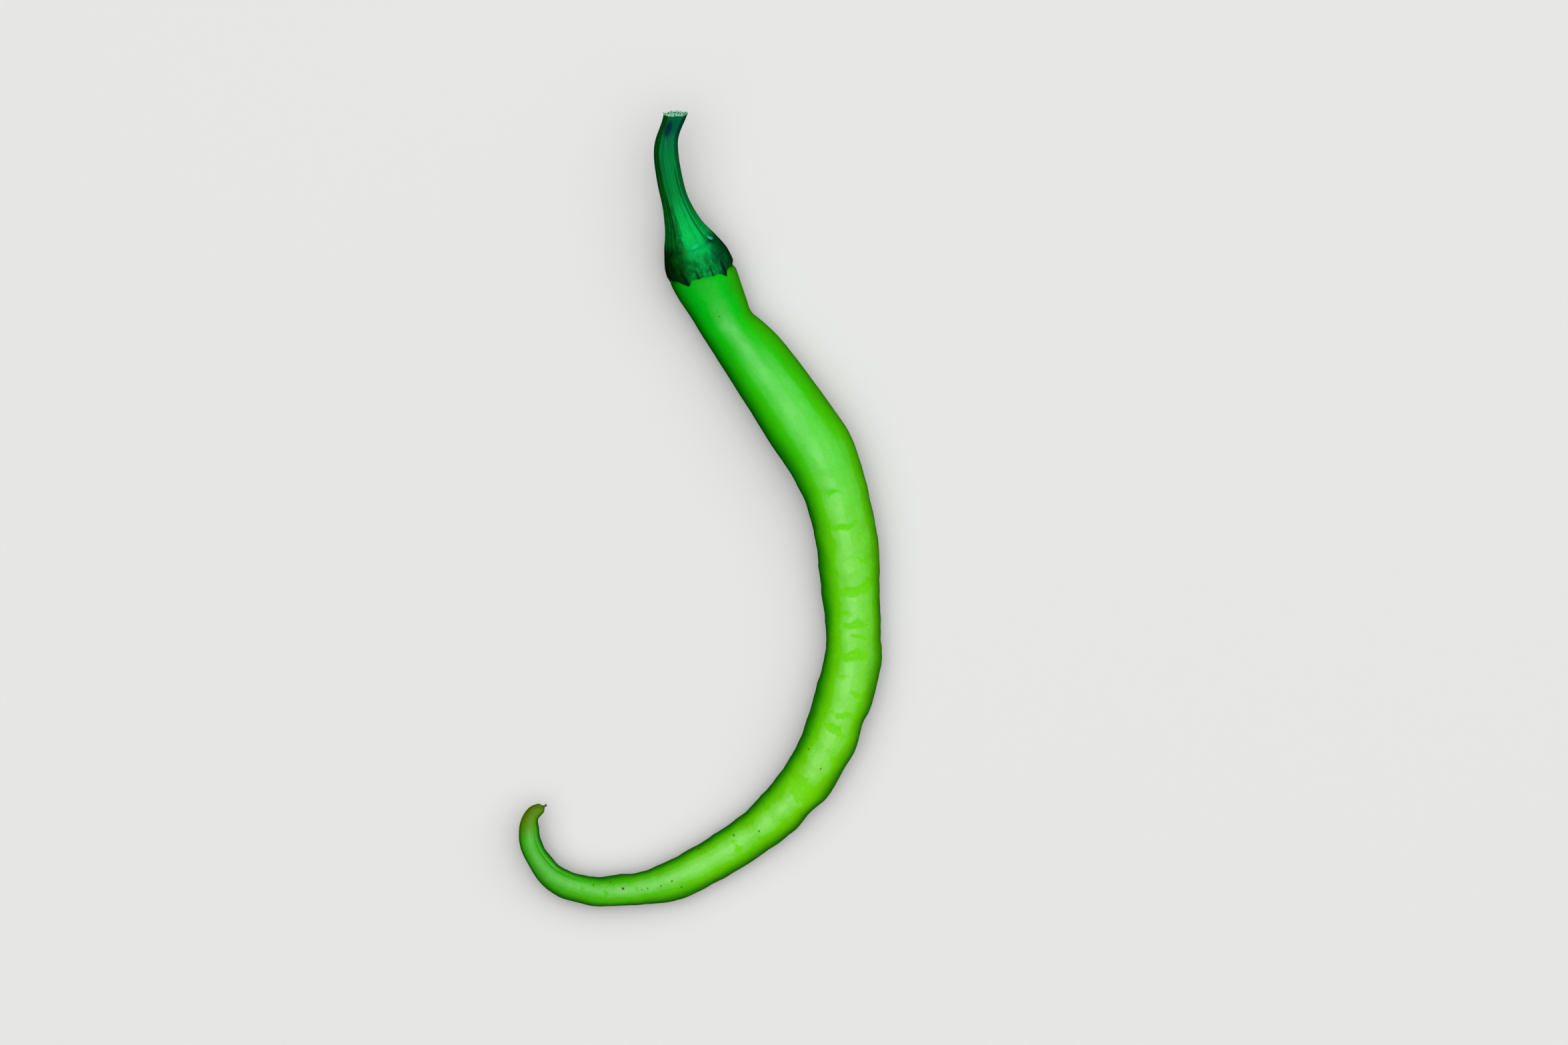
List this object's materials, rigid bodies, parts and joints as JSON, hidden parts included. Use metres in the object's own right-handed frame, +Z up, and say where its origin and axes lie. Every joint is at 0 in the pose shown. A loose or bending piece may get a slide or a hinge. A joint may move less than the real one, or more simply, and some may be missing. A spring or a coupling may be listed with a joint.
{
  "type": "green chilli pepper",
  "caption": "Long slim green chilli pepper as picked, lying in a J-shaped curve, with its five-sided stem, toothed calyx and hooked tip.",
  "frame": {"origin": "on the surface the pepper lies on, under the middle of its box", "axes": "+Z up from the surface, +Y along the pepper's length towards the stem's torn end, +X towards the outside of the pod's bend"},
  "size_m": [0.0736, 0.1616, 0.0165],
  "materials": {
    "pod_skin": "waxy satin gloss, deep green at the calyx to yellow-green",
    "calyx_skin": "leathery satin, dark green with darker veins",
    "stem_skin": "fibrous satin, five-sided and finely wrinkled, pale torn pith at the end",
    "dried_style": "dry and matt, brown"
  },
  "bodies": {
    "root": {"pod": "pod_skin", "calyx": "calyx_skin", "stem": "stem_skin", "style_tip": "dried_style"}
  },
  "joints": []
}
